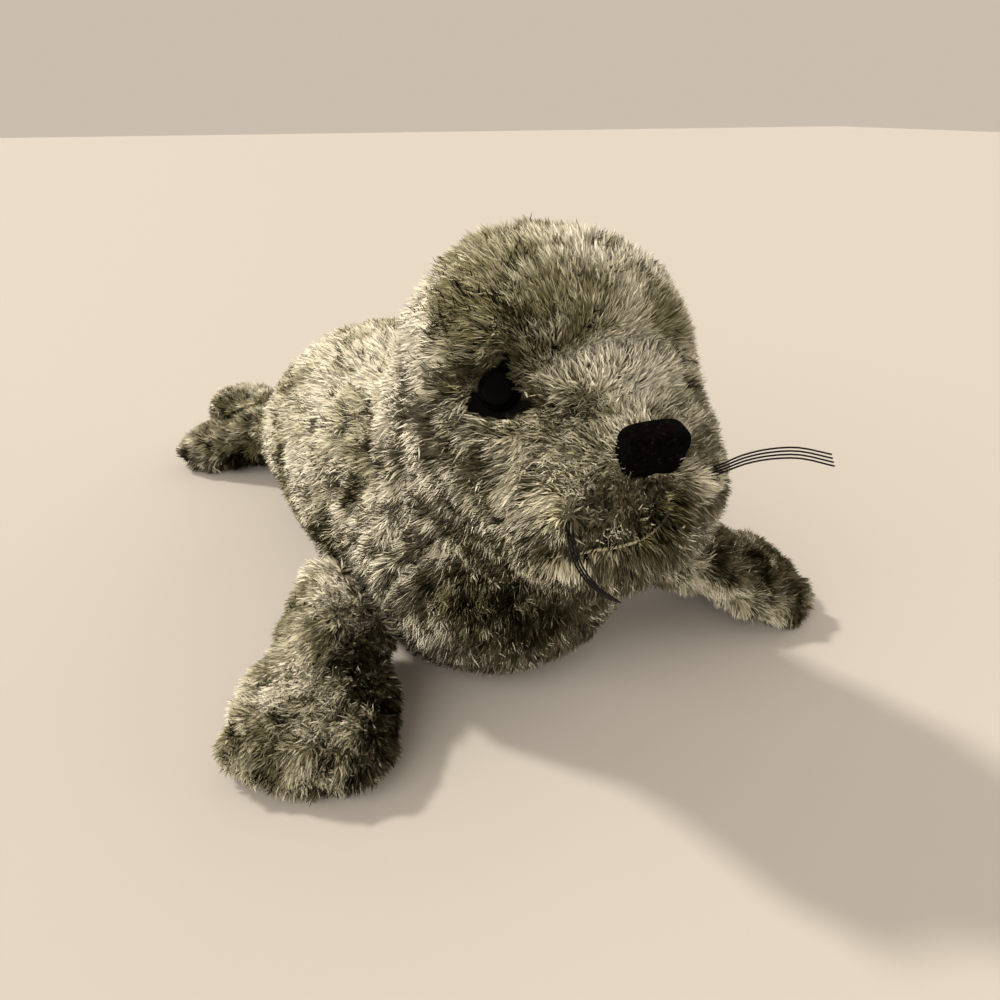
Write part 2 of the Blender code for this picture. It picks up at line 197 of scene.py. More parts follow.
# The body's skin: plush cloth sewn from a few panels, stuffed tight with fibre, gathered at the neck.
# It lies one pile's height under the solid's surface, which stands for the tips of the fur.
PILE = 0.0048
EYE_HOLLOW = 0.0020
MOUTH_CREASE = 0.0026
WHISKER_DIMPLE = 0.0020
GATHER_DEPTH = 0.0024
GATHER_PITCH = 0.0135
SKIN_FLOOR = 0.0012
NOSE_MIDDLE = np.array([-0.0028, -0.1777, 0.1291])
EYES = {
    "right": (np.array([-0.0414, -0.1526, 0.1445]), np.array([-0.672, -0.674, 0.309])),
    "left": (np.array([0.0256, -0.1543, 0.1448]), np.array([0.648, -0.697, 0.309])),
}
TRUNK_AIM = np.array([-0.22, 0.97, -0.08])
MUZZLE_MIDDLE = np.array([-0.0026, -0.1551, 0.108])
WHISKER_ROOTS = (np.array([-0.0289, -0.1791, 0.1155]), np.array([0.0158, -0.1808, 0.1224]))
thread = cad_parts["mouth_thread"].data
thread_places = np.empty(len(thread.vertices) * 3)
thread.vertices.foreach_get("co", thread_places)
thread_places = thread_places.reshape(-1, 3)
thread_places = thread_places[np.argsort(thread_places[:, 0])]
MOUTH_LINE = np.stack([part.mean(axis=0) for part in np.array_split(thread_places, 26)])


def hash_grid(cells, seed):
    """A repeatable random number from 0 to 1 for each whole-number cell (x, y, z)."""
    mixed = cells.astype(np.int64) * np.array([73856093, 19349663, 83492791]) + seed * 2654435761
    word = (mixed[..., 0] ^ mixed[..., 1] ^ mixed[..., 2]) & 0xFFFFFFFF
    word = ((word ^ (word >> 15)) * 2246822519) & 0xFFFFFFFF
    word = ((word ^ (word >> 13)) * 3266489917) & 0xFFFFFFFF
    return ((word ^ (word >> 16)) & 0xFFFFFF) / float(0xFFFFFF)


def noise_at(places, size, seed):
    """Value noise: random numbers at the corners of cells of a size, eased between them."""
    grid = places / size
    cell = np.floor(grid).astype(np.int64)
    part = grid - cell
    ease = part * part * (3.0 - 2.0 * part)
    total = np.zeros(len(places))
    for corner in range(8):
        step = np.array([corner & 1, (corner >> 1) & 1, (corner >> 2) & 1])
        share = np.where(step == 1, ease, 1.0 - ease).prod(axis=1)
        total += share * hash_grid(cell + step, seed)
    return total


def unit(vectors):
    """Each row scaled to a length of one."""
    return vectors / np.maximum(np.linalg.norm(vectors, axis=1, keepdims=True), 1e-9)


def mesh_arrays(mesh):
    """Vertex places, vertex normals and triangles of a mesh."""
    count = len(mesh.vertices)
    places = np.empty(count * 3)
    mesh.vertices.foreach_get("co", places)
    facing = np.empty(count * 3)
    mesh.vertices.foreach_get("normal", facing)
    mesh.calc_loop_triangles()
    corners = np.empty(len(mesh.loop_triangles) * 3, dtype=np.int32)
    mesh.loop_triangles.foreach_get("vertices", corners)
    return places.reshape(-1, 3), facing.reshape(-1, 3), corners.reshape(-1, 3)


def stuffed_skin(name, node, plugs, voxel, rounds):
    """A padded skin over a CAD node: its solid, with plugs closing its sockets, remeshed and softened."""
    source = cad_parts[node]
    mesh = source.data.copy()
    mesh.transform(source.matrix_world)
    shape = bmesh.new()
    shape.from_mesh(mesh)
    bmesh.ops.remove_doubles(shape, verts=shape.verts, dist=1e-6)
    for place, aim, radius, reach in plugs:
        turn = Vector(aim).to_track_quat("Z", "Y").to_matrix().to_4x4()
        stretch = Matrix.Diagonal((radius, radius, reach, 1.0))
        bmesh.ops.create_uvsphere(
            shape, u_segments=24, v_segments=16, radius=1.0, matrix=Matrix.Translation(place) @ turn @ stretch
        )
    shape.to_mesh(mesh)
    shape.free()
    rough = bpy.data.objects.new(name + "_rough", mesh)
    bpy.context.collection.objects.link(rough)
    fuse = rough.modifiers.new("fuse", "REMESH")
    fuse.mode = "VOXEL"
    fuse.voxel_size = voxel
    soften = rough.modifiers.new("soften", "SMOOTH")
    soften.factor = 0.5
    soften.iterations = rounds
    bpy.context.view_layer.update()
    graph = bpy.context.evaluated_depsgraph_get()
    skin = bpy.data.meshes.new_from_object(rough.evaluated_get(graph))
    bpy.data.objects.remove(rough)
    skin.name = name
    return skin


def band(value, middle, width):
    """A smooth hill of height one round a middle value."""
    return np.exp(-(((value - middle) / width) ** 2))


def ramp(value, start, span):
    """Nothing up to a start, one from a span past it on, and a straight rise between."""
    return np.clip((value - start) / span, 0.0, 1.0)


def from_line(places, line):
    """Each place's distance to the nearest point of a close row of points."""
    away = np.full(len(places), 1.0)
    for point in line:
        away = np.minimum(away, np.linalg.norm(places - point, axis=1))
    return away


EYE_GAP = (
    (-142, 8.9), (-90, 6.0), (-37, 8.2), (0, 12.5), (18, 7.4),
    (54, 6.8), (80, 13.5), (98, 7.0), (143, 5.2), (193, 6.7),
)


def eye_reach(places):
    """How far each place is from an eye, where 1 is the edge of the gap in the pile over it.

    The gap is seen in the eye's own plane, s towards the nose and t upwards: its radius at each
    bearing runs straight between the millimetres of a short list, and is a little ragged.
    """
    bearings, radii = np.array(EYE_GAP).T
    ragged = 0.86 + 0.28 * noise_at(places, 0.0022, 41)
    reach = np.full(len(places), 9.0)
    for middle, aim in EYES.values():
        upward = np.array([0.0, 0.0, 1.0]) - aim[2] * aim
        upward /= np.linalg.norm(upward)
        inward = np.cross(upward, aim)
        inward *= np.sign(inward @ (NOSE_MIDDLE - middle))
        offset = (places - middle) * 1000.0
        s, t = offset @ inward + 1.0, offset @ upward + 1.5
        edge = np.interp(np.degrees(np.arctan2(t, s)), bearings, radii, period=360.0)
        near = np.abs(offset @ aim) < 17.0
        reach = np.where(near, np.minimum(reach, np.hypot(s, t) / (edge * ragged)), reach)
    return reach


def pushed_off(places, line, reach):
    """The way off a row of points: the sum of the ways off each of them, fading over a reach."""
    push = np.zeros(places.shape)
    for point in line:
        offset = places - point
        push += offset * band(np.linalg.norm(offset, axis=1), 0.0, reach)[:, None]
    return push / reach


def over_muzzle(places):
    """One over the top of the muzzle's ball, where the stop runs, fading downwards and to the right."""
    return ramp(places[:, 2], 0.136, 0.012) * ramp(places[:, 0], -0.034, 0.016)


def face_relief(places):
    """How far the head and neck are pulled in (negative) or puffed out, in metres.

    Hollows at the eyes; the stop, a crease round the top of the muzzle's ball; the mouth's crease;
    dimples where the whiskers are knotted; and fine gathers down the neck.
    """
    relief = np.zeros(len(places))
    relief -= EYE_HOLLOW * np.clip(1.7 - eye_reach(places), 0.0, 0.7) / 0.7
    reach = np.linalg.norm(places - MUZZLE_MIDDLE, axis=1)
    stop = 0.0022 * band(reach, 0.0430, 0.0045) - 0.0040 * band(reach, 0.0490, 0.0032)
    relief += stop * over_muzzle(places)
    relief -= MOUTH_CREASE * band(from_line(places, MOUTH_LINE), 0.0, 0.0040)
    relief -= WHISKER_DIMPLE * band(from_line(places, WHISKER_ROOTS), 0.0, 0.0040)
    along = places[:, 1] + 0.35 * places[:, 2] + 0.004 * np.sin(places[:, 2] * 95.0)
    along += 0.009 * noise_at(places, 0.030, 8)
    neck = band(places[:, 1], -0.085, 0.036) * ramp(places[:, 2], 0.03, 0.03)
    gathers = GATHER_DEPTH * np.cos(2.0 * math.pi * along / GATHER_PITCH)
    relief += gathers * neck * (0.2 + 1.1 * noise_at(places, 0.022, 9))
    return relief + 0.0018 * (noise_at(places, 0.018, 5) - 0.5)


DARK_PATCHES = (
    ((-0.045, -0.128, 0.164), 0.010, 0.55),
    ((-0.016, -0.134, 0.179), 0.007, 0.45),
    ((-0.029, -0.129, 0.177), 0.010, 0.30),
    ((-0.039, -0.134, 0.167), 0.008, 0.40),
    ((-0.030, -0.149, 0.164), 0.007, 0.50),
    ((-0.017, -0.148, 0.171), 0.008, 0.45),
    ((-0.009, -0.152, 0.169), 0.008, 0.45),
    ((0.006, -0.148, 0.170), 0.006, 0.40),
    ((0.016, -0.150, 0.163), 0.009, 0.50),
    ((-0.028, -0.157, 0.157), 0.006, 0.45),
    ((-0.047, -0.138, 0.155), 0.008, 0.22),
    ((-0.049, -0.150, 0.140), 0.007, 0.45),
    ((0.027, -0.158, 0.147), 0.013, 0.60),
    ((-0.043, -0.131, 0.062), 0.012, 0.60),
    ((-0.028, -0.137, 0.054), 0.014, 0.50),
    ((-0.012, -0.138, 0.046), 0.016, 0.45),
    ((-0.005, -0.188, 0.111), 0.007, 0.45),
    ((-0.053, -0.124, 0.062), 0.012, 0.35),
    ((-0.074, 0.004, 0.104), 0.014, 0.35),
    ((-0.062, -0.106, 0.099), 0.010, 0.25),
    ((-0.024, -0.147, 0.165), 0.008, 0.25),
    ((-0.014, -0.150, 0.165), 0.008, 0.30),
    ((-0.003, -0.151, 0.165), 0.008, 0.25),
)
LIGHT_PATCHES = (
    ((-0.053, -0.125, 0.152), 0.010, 0.50),
    ((-0.055, -0.112, 0.135), 0.014, 0.50),
    ((-0.007, -0.140, 0.177), 0.008, 0.45),
    ((0.010, -0.129, 0.178), 0.012, 0.50),
    ((0.024, -0.135, 0.168), 0.010, 0.40),
    ((-0.001, -0.162, 0.154), 0.012, 0.45),
    ((-0.036, -0.135, 0.073), 0.010, 0.40),
    ((-0.013, -0.141, 0.060), 0.009, 0.35),
    ((-0.038, -0.167, 0.123), 0.012, 0.25),
    ((-0.054, 0.005, 0.118), 0.018, 0.35),
    ((-0.071, -0.030, 0.103), 0.016, 0.35),
    ((-0.084, -0.036, 0.071), 0.020, 0.35),
    ((-0.061, -0.099, 0.119), 0.014, 0.35),
    ((-0.053, -0.124, 0.146), 0.011, 0.35),
    ((-0.056, -0.124, 0.124), 0.014, 0.45),
    ((-0.057, -0.110, 0.105), 0.015, 0.45),
    ((-0.047, -0.117, 0.023), 0.010, 0.55),
    ((-0.034, -0.123, 0.020), 0.010, 0.60),
    ((-0.019, -0.126, 0.018), 0.010, 0.60),
    ((-0.003, -0.127, 0.020), 0.010, 0.50),
)


def fur_tone(places):
    """How dark the fur is at each place, from 0, cream, to 1, olive black.

    Streaky blotches of three sizes, sharpened, with the toy's own dark and pale patches on top, then painted
    shade in the stop's crease and round the mouth, and painted light on the puffed rim inside the stop.
    """
    streak = places * np.array([1.0, 0.75, 1.15])
    blotch = 0.52 * noise_at(streak, 0.020, 1) + 0.30 * noise_at(streak, 0.009, 2)
    blotch += 0.18 * noise_at(streak, 0.0042, 3)
    face = ramp(-places[:, 1], 0.105, 0.03)
    tone = ramp(blotch, 0.36, 0.28) * (0.98 - 0.50 * face) + 0.18 * face
    edge = 0.0045 * (noise_at(places, 0.006, 4) - 0.5)
    for patches, strength in ((DARK_PATCHES, 1.4), (LIGHT_PATCHES, -1.25)):
        for middle, radius, amount in patches:
            away = np.linalg.norm(places - np.array(middle), axis=1) + edge
            tone += strength * amount * band(away, 0.0, radius)
    # Painted shade in the stop's crease round the top of the muzzle, and painted light on the puffed rim just
    # inside it.
    reach = np.linalg.norm(places - MUZZLE_MIDDLE, axis=1)
    stop_shading = 0.42 * band(reach, 0.0495, 0.0034) - 0.36 * band(reach, 0.0432, 0.0038)
    tone += stop_shading * over_muzzle(places)
    # Painted shade: the fur darker round the last stretch of the mouth, under the nose, where it runs into
    # the fold.
    tone += 0.55 * band(from_line(places, MOUTH_LINE[-8:]), 0.0, 0.0050)
    side = band(places[:, 1], -0.060, 0.045) * ramp(places[:, 2], 0.05, 0.03)
    rear = ramp(places[:, 1], -0.02, 0.04)
    return np.clip(tone - 0.26 * side + 0.12 * rear, 0.0, 1.0)


def shader_colour(node):
    """The colour output of a ramp."""
    return node.outputs["Color"]


def plush_cloth(name):
    """The cloth that the pile is woven in: its tone attribute from pale to dark, and painted shade, near
    black, in the hollows.
    """
    finish = Finish(name, {"Roughness": 0.95, "Specular IOR Level": 0.15})
    tone = Value(finish, finish.add("ShaderNodeAttribute", {"attribute_name": "tone"}).outputs["Fac"])
    hollow = Value(finish, finish.add("ShaderNodeAttribute", {"attribute_name": "hollow"}).outputs["Fac"])
    fleck = finish.noise(900.0, 2.0) * 0.35 - 0.17
    shade = finish.add("ShaderNodeValToRGB", {"stops": [
        (0.0, (0.400, 0.375, 0.285)), (0.5, (0.190, 0.178, 0.115)), (1.0, (0.045, 0.042, 0.020)),
    ]}, {"Fac": tone + fleck})
    # Painted shade: where the hollow mask is one, the cloth turns near black, for the shade in the gaps over
    # the eyes, in the mouth's crease and in the whisker dimples.
    deep = finish.add("ShaderNodeMix", {"data_type": "RGBA"}, {
        0: hollow, 6: shader_colour(shade), 7: (0.0025, 0.0022, 0.0018, 1.0),
    })
    finish.feed(finish.shader.inputs["Base Color"], deep.outputs[2])
    finish.bump(finish.noise(1400.0, 3.0), 0.8, 0.0006)
    return finish


def finish_skin(skin, relief, pile, tone_shift):
    """Sink a skin by the pile's height, shape it, keep it off the floor and note its tone and its painted
    shade at each vertex.
    """
    places, facing = mesh_arrays(skin)[:2]
    places = places + facing * (relief(places) - pile)[:, None]
    places[:, 2] = np.maximum(places[:, 2], SKIN_FLOOR)
    skin.vertices.foreach_set("co", places.ravel())
    skin.update()
    tone = skin.attributes.new("tone", "FLOAT", "POINT")
    tone.data.foreach_set("value", np.clip(fur_tone(places) + tone_shift, 0.0, 1.0))
    hollow = skin.attributes.new("hollow", "FLOAT", "POINT")
    # Painted shade in the eyes' gaps, along the mouth's crease and at the whisker dimples, kept as the hollow
    # mask.
    dark = np.clip((1.35 - eye_reach(places)) / 0.2, 0.0, 1.0)
    dark = np.maximum(dark, band(from_line(places, MOUTH_LINE), 0.0, 0.0026))
    dark = np.maximum(dark, band(from_line(places, WHISKER_ROOTS), 0.0, 0.0022))
    hollow.data.foreach_set("value", dark)
    skin.polygons.foreach_set("use_smooth", np.ones(len(skin.polygons), dtype=bool))


body_plugs = []
for eye_middle, eye_aim in EYES.values():
    body_plugs.append((eye_middle - eye_aim * 0.0125, eye_aim, 0.0108, 0.0118))
body_plugs.append((NOSE_MIDDLE + np.array([0.0, 0.006, 0.0]), (0.0, 0.0, 1.0), 0.0135, 0.0110))
for whisker_root in WHISKER_ROOTS:
    body_plugs.append((whisker_root, (0.0, 0.0, 1.0), 0.0075, 0.0075))
for mouth_place in MOUTH_LINE:
    body_plugs.append((mouth_place, (0.0, 0.0, 1.0), 0.0050, 0.0050))
body_skin = stuffed_skin("body_skin", "body", body_plugs, 0.0030, 10)
finish_skin(body_skin, face_relief, PILE, 0.0)
cloth = plush_cloth("body_cloth")
body_piece = add_piece("body_skin", body_skin, cloth)
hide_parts("body")

# The fur: one short dense pile, pale at its tips and dyed dark in blotches, brushed back from the nose.
# Each hair seen here stands for a lock of fibres: a thin leaf of two triangles, dark at its root, partly
# the pile's own dye and partly painted shade deep in the pile.
SWIRL = 1.8
SWIRL_SIZE = 0.0055
STRAY = 0.40
STRAY_TILT = 0.24
BEND = 0.42
KNOT_CLEAR = 0.0015
KNOT_DARK = 0.0028
HAIR_FLOOR = 0.0004


def fur_finish(name, pale, middle, dark):
    """Hair colour: across the map from pale to dark fur, and up it from root to tip, the darker roots partly
    painted shade.
    """
    finish = Finish(name, {"Roughness": 0.60, "Specular IOR Level": 0.30})
    place = finish.add("ShaderNodeUVMap", {"uv_map": "OFBake"})
    split = finish.add("ShaderNodeSeparateXYZ", {}, {"Vector": place.outputs["UV"]})
    tone = Value(finish, split.outputs["X"])
    height = Value(finish, split.outputs["Y"])
    black = (0.004, 0.0036, 0.003)
    tips = finish.add("ShaderNodeValToRGB", {"stops": [
        (0.0, pale), (0.45, middle), (0.90, dark), (1.0, black),
    ]}, {"Fac": tone})
    # Root colours: the tips' colours darkened, partly for the pile's own darker roots and partly as painted
    # shade deep in the pile.
    roots = finish.add("ShaderNodeValToRGB", {"stops": [
        (0.0, tuple(np.array(pale) * (0.56, 0.53, 0.44))),
        (0.45, tuple(np.array(middle) * (0.52, 0.49, 0.38))),
        (0.90, tuple(np.array(dark) * (0.52, 0.49, 0.36))),
        (1.0, black),
    ]}, {"Fac": tone})
    mixed = finish.add("ShaderNodeMix", {"data_type": "RGBA"}, {
        0: height ** 1.2, 6: shader_colour(roots), 7: shader_colour(tips),
    })
    finish.feed(finish.shader.inputs["Base Color"], mixed.outputs[2])
    return finish


def scatter(skin, count, density, rng):
    """Even random places on a skin, weighted by a density at each triangle, with their normals."""
    places, facing, corners = mesh_arrays(skin)
    triangle = places[corners]
    span = np.cross(triangle[:, 1] - triangle[:, 0], triangle[:, 2] - triangle[:, 0])
    weight = 0.5 * np.linalg.norm(span, axis=1) * density(triangle.mean(axis=1))
    level = np.cumsum(weight)
    pick = np.searchsorted(level, (np.arange(count) + rng.random(count)) / count * level[-1])
    pick = np.minimum(pick, len(weight) - 1)
    first = np.sqrt(rng.random(count))
    second = rng.random(count)
    share = np.stack([1.0 - first, first * (1.0 - second), first * second], axis=1)[:, :, None]
    return (triangle[pick] * share).sum(axis=1), unit((facing[corners][pick] * share).sum(axis=1))


def tuft_pull(places, size, seed):
    """The way to the middle of the lock that a hair belongs to: the slope of value noise of a size."""
    here = noise_at(places, size, seed)
    slope = [noise_at(places + 0.1 * size * axis, size, seed) - here for axis in np.eye(3)]
    return np.stack(slope, axis=1) * 10.0, here


def grow_hairs(name, roots, facing, comb, length, width, lean, locks, ridge, tone_shift, finish, seed):
    """One coat of hairs, whose roots are given.

    Each hair leaves its root between the skin's normal and the combed direction, bends further over
    at half its length, and ends nearer the middle of its lock. It has two corners at its root, one
    at its bend and one at its tip. Locks are (size, pull) pairs, and ridge says how much paler and
    longer the hairs in the middle of a lock are.
    """
    rng = np.random.default_rng(seed)
    count = len(roots)
    swirl = np.stack([noise_at(roots, SWIRL_SIZE, seed + 7 + axis) - 0.5 for axis in range(3)], axis=1)
    aim = comb + SWIRL * swirl + rng.normal(0.0, STRAY, (count, 3))
    gather = np.zeros((count, 3))
    height = np.zeros(count)
    for order, (size, pull) in enumerate(locks):
        slope, here = tuft_pull(roots, size, seed + order)
        gather += slope * size * pull
        height += (here - 0.5) * min(pull, 0.6)
    gather -= (gather * facing).sum(axis=1, keepdims=True) * facing
    aim = unit(aim - (aim * facing).sum(axis=1, keepdims=True) * facing)
    reach = length * (0.78 + 0.36 * rng.random(count)) * (1.0 + 0.6 * ridge * height)
    tilt = lean + rng.normal(0.0, STRAY_TILT, count)
    low = facing * np.cos(tilt)[:, None] + aim * np.sin(tilt)[:, None]
    high = facing * np.cos(tilt + BEND)[:, None] + aim * np.sin(tilt + BEND)[:, None]
    middle = roots + low * (0.5 * reach)[:, None] + gather * 0.3
    tip = middle + high * (0.5 * reach)[:, None] + gather * 0.7
    across = unit(np.cross(low, facing) + rng.normal(0.0, STRAY, (count, 3)))
    half = 0.5 * (width * np.exp(rng.normal(0.0, 0.28, count)))[:, None]
    turn = np.where(rng.random(count) < 0.5, 1.0, -1.0)[:, None]
    ring = np.stack([
        roots - across * half * turn, roots + across * half * turn, middle + across * half * turn, tip,
    ], axis=1)
    keep = np.minimum(eye_reach(tip), eye_reach(middle)) > 1.0
    keep &= eye_reach(roots) > 1.02
    from_knot = from_line(tip, WHISKER_ROOTS[:1])
    keep &= from_knot > KNOT_CLEAR
    black = from_knot < KNOT_DARK
    ring, facing, roots, height = ring[keep], facing[keep], roots[keep], height[keep]
    low, across, black = low[keep], across[keep], black[keep]
    count = len(roots)
    ring[:, :, 2] = np.maximum(ring[:, :, 2], HAIR_FLOOR)
    mesh = bpy.data.meshes.new(name)
    mesh.vertices.add(count * 4)
    mesh.vertices.foreach_set("co", ring.ravel())
    base = (np.arange(count) * 4)[:, None]
    mesh.loops.add(count * 6)
    mesh.loops.foreach_set("vertex_index", (base + np.array([0, 1, 2, 0, 2, 3])).ravel())
    mesh.polygons.add(count * 2)
    mesh.polygons.foreach_set("loop_start", np.arange(count * 2) * 3)
    mesh.update(calc_edges=True)
    mesh.polygons.foreach_set("use_smooth", np.ones(count * 2, dtype=bool))
    tone = fur_tone(roots) + tone_shift - ridge * height + rng.normal(0.0, 0.13, count)
    # Painted shade: the hairs darker along the mouth's crease.
    tone += 0.5 * band(from_line(roots, MOUTH_LINE), 0.0, 0.0034)
    column = np.where(black, 0.992, 0.015 + 0.88 * np.clip(tone, 0.0, 1.0))[:, None]
    rise = np.array([0.02, 0.02, 0.52, 0.02, 0.52, 0.98])
    spread = np.array([-0.005, 0.005, 0.005, -0.005, 0.005, 0.0])
    layer = mesh.uv_layers.new(name="OFBake")
    layer.data.foreach_set("uv", np.stack([column + spread, np.tile(rise, (count, 1))], axis=2).ravel())
    broad = unit(np.cross(across, low)) * rng.normal(0.0, 0.62, (count, 1))
    blend = unit(facing + broad + np.array([0.0, 0.0, 0.25]))
    mesh.normals_split_custom_set_from_vertices(np.repeat(blend, 4, axis=0))
    return add_piece(name, mesh, finish)


def clear_of_nose(places):
    """One away from the nose pad, nothing under it."""
    offset = (places - NOSE_MIDDLE) / np.array([0.0098, 0.0120, 0.0064])
    return ramp(np.linalg.norm(offset, axis=1), 0.92, 0.12)


def body_density(places):
    """How close the hairs stand: closest on the face, thinner towards the tail and under the belly."""
    back = ramp(places[:, 1], -0.13, 0.20)
    under = ramp(-places[:, 2], -0.020, 0.015)
    close = (1.0 - 0.62 * back) * (1.0 - 0.5 * under)
    mouth = np.clip((from_line(places, MOUTH_LINE) - 0.0010) / 0.0012, 0.10, 1.0)
    knot = ramp(from_line(places, WHISKER_ROOTS), 0.0012, 0.0010)
    return close * clear_of_nose(places) * mouth * knot


def comb_body(places):
    """Which way the body's pile lies: away from the nose on the head, back and down on the trunk."""
    from_nose = unit(places - NOSE_MIDDLE)
    head = ramp(-places[:, 1], 0.100, 0.05) * ramp(places[:, 2], 0.07, 0.03)
    down = np.array([0.0, 0.0, -0.55])
    comb = from_nose * head[:, None] + (TRUNK_AIM + down) * (1.0 - head)[:, None]
    eyes = [middle for middle, aim in EYES.values()]
    return comb + 0.7 * pushed_off(places, MOUTH_LINE, 0.0042) + 0.3 * pushed_off(places, eyes, 0.0115)


COAT_HAIRS = 330000
COAT_LENGTH = 0.0065
COAT_WIDTH = 0.00031
COAT_LOCKS = ((0.0026, 0.62), (0.0075, 0.20))
coat = fur_finish("mottled_fur", (0.97, 0.93, 0.79), (0.70, 0.665, 0.50), (0.190, 0.174, 0.082))
coat_roots, coat_facing = scatter(body_skin, COAT_HAIRS, body_density, np.random.default_rng(20))
order = np.argsort(coat_roots[:, 1])
for fur_name, part in zip(("fur_face", "fur_head", "fur_neck", "fur_trunk"), np.array_split(order, 4)):
    roots, facing = coat_roots[part], coat_facing[part]
    near_nose = np.linalg.norm(roots - NOSE_MIDDLE, axis=1)
    hair_length = COAT_LENGTH * (0.64 + 0.36 * ramp(near_nose, 0.0, 0.05))
    hair_length *= 0.55 + 0.45 * ramp(from_line(roots, MOUTH_LINE), 0.0, 0.005)
    hair_length *= 0.55 + 0.45 * ramp(from_line(roots, WHISKER_ROOTS), 0.0, 0.006)
    hair_width = COAT_WIDTH / np.sqrt(np.maximum(body_density(roots), 0.3))
    hair_lean = 0.24 + 0.36 * ramp(near_nose, 0.02, 0.08)
    hair_lean *= np.clip((eye_reach(roots) - 1.0) / 0.9, 0.1, 1.0)
    grow_hairs(
        fur_name, roots, facing, comb_body(roots), hair_length, hair_width, hair_lean,
        COAT_LOCKS, 0.8, -0.07, coat, 21,
    )

# Front flippers: flat stuffed mitts of a darker, curlier plush than the body's, closed all round and
# sewn on at the shoulder.
CURL_LENGTH = 0.0064
CURL_WIDTH = 0.00038
CURL_LEAN = 0.46
CURL_LOCKS = ((0.0032, 0.60), (0.0085, 0.34))
dark_coat = fur_finish("dark_curly_fur", (0.95, 0.905, 0.76), (0.52, 0.49, 0.355), (0.125, 0.113, 0.052))
dark_cloth = plush_cloth("flipper_cloth")


def flipper_relief(places):
    """A little unevenness in the stuffing."""
    return 0.0034 * (noise_at(places, 0.0095, 6) - 0.5)


def even_density(places):
    """One everywhere: a flipper's hairs stand equally close all round."""
    return np.ones(len(places))


def add_flipper(node, root, count, seed):
    """One flipper: a padded skin over its solid, and its coat combed from the root to the tip."""
    skin = stuffed_skin(node + "_skin", node, (), 0.0022, 6)
    finish_skin(skin, flipper_relief, PILE * 0.9, 0.18)
    piece = add_piece(node + "_skin", skin, dark_cloth)
    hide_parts(node)
    roots, facing = scatter(skin, count, even_density, np.random.default_rng(seed))
    comb = unit(roots - np.array(root)) + np.array([0.0, 0.0, -0.2])
    same = np.ones(count)
    grow_hairs(
        "fur_" + node, roots, facing, comb, CURL_LENGTH * same, CURL_WIDTH * same, CURL_LEAN * same,
        CURL_LOCKS, 1.3, 0.04, dark_coat, seed,
    )


add_flipper("front_flipper_right", (-0.058, -0.075, 0.045), 40000, 31)
add_flipper("front_flipper_left", (0.045, -0.088, 0.045), 34000, 32)

# Hind flippers: two smaller stuffed paddles of the same curly plush, sewn on side by side behind the
# tail, both lying to the seal's right.
add_flipper("hind_flipper_right", (-0.060, 0.108, 0.030), 22000, 33)
add_flipper("hind_flipper_left", (-0.060, 0.108, 0.030), 22000, 34)

# Eyes: domes moulded in black plastic, each with a rim, and a post that goes through the cloth. They
# sit sunk in a gap of the pile.
EYE_RADIUS = 0.0064
EYE_DOME = 0.0052
EYE_RIM = 0.0012
EYE_SINK = 0.0030
POST_RADIUS = 0.0020
POST_LENGTH = 0.0120
moulded_black = Finish("moulded_black", {
    "Base Color": (0.0008, 0.0008, 0.0007, 1.0), "Roughness": 0.20, "Specular IOR Level": 0.035,
})
haze = moulded_black.noise(350.0, 3.0)
moulded_black.feed(moulded_black.shader.inputs["Roughness"], haze * 0.14 + 0.10)


def turned_mesh(name, profile, around, middle, aim):
    """A profile of (radius, height) swept round an aim through a middle, closed at both poles."""
    aim = aim / np.linalg.norm(aim)
    across = np.cross(np.array([0.0, 0.0, 1.0]), aim)
    across /= np.linalg.norm(across)
    upward = np.cross(aim, across)
    angle = np.linspace(0.0, 2.0 * math.pi, around, endpoint=False)
    circle = np.cos(angle)[:, None] * across + np.sin(angle)[:, None] * upward
    rings = [middle + circle * radius + aim * height for radius, height in profile[1:-1]]
    places = np.concatenate([[middle + aim * profile[0][1]], *rings, [middle + aim * profile[-1][1]]])
    faces = []
    for step in range(around):
        after = (step + 1) % around
        faces.append((0, 1 + step, 1 + after))
        for row in range(len(rings) - 1):
            low = 1 + row * around
            faces.append((low + step, low + around + step, low + around + after, low + after))
        last = 1 + (len(rings) - 1) * around
        faces.append((last + step, len(places) - 1, last + after))
    mesh = bpy.data.meshes.new(name)
    mesh.from_pydata(places.tolist(), [], faces)
    shape = bmesh.new()
    shape.from_mesh(mesh)
    bmesh.ops.recalc_face_normals(shape, faces=shape.faces)
    shape.to_mesh(mesh)
    shape.free()
    mesh.polygons.foreach_set("use_smooth", np.ones(len(mesh.polygons), dtype=bool))
    mesh.set_sharp_from_angle(angle=math.radians(50))
    return mesh


def eye_outline():
    """Dome, rim, flat back, post and its rounded end, from the top down."""
    rim = -EYE_SINK - EYE_DOME
    back_face = rim - EYE_RIM
    turn = np.linspace(0.0, math.pi / 2.0, 14)
    dome = [(EYE_RADIUS * math.sin(step), rim + EYE_DOME * math.cos(step)) for step in turn]
    end = back_face - POST_LENGTH
    return dome + [
        (EYE_RADIUS, back_face), (POST_RADIUS, back_face), (POST_RADIUS, end + 0.0008),
        (POST_RADIUS * 0.6, end), (0.0, end),
    ]


for eye_name, (eye_middle, eye_aim) in EYES.items():
    eye_piece = add_piece(
        "eye_ball_" + eye_name, turned_mesh("eye_ball_" + eye_name, eye_outline(), 48, eye_middle, eye_aim),
        moulded_black,
    )
    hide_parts("eye_" + eye_name)

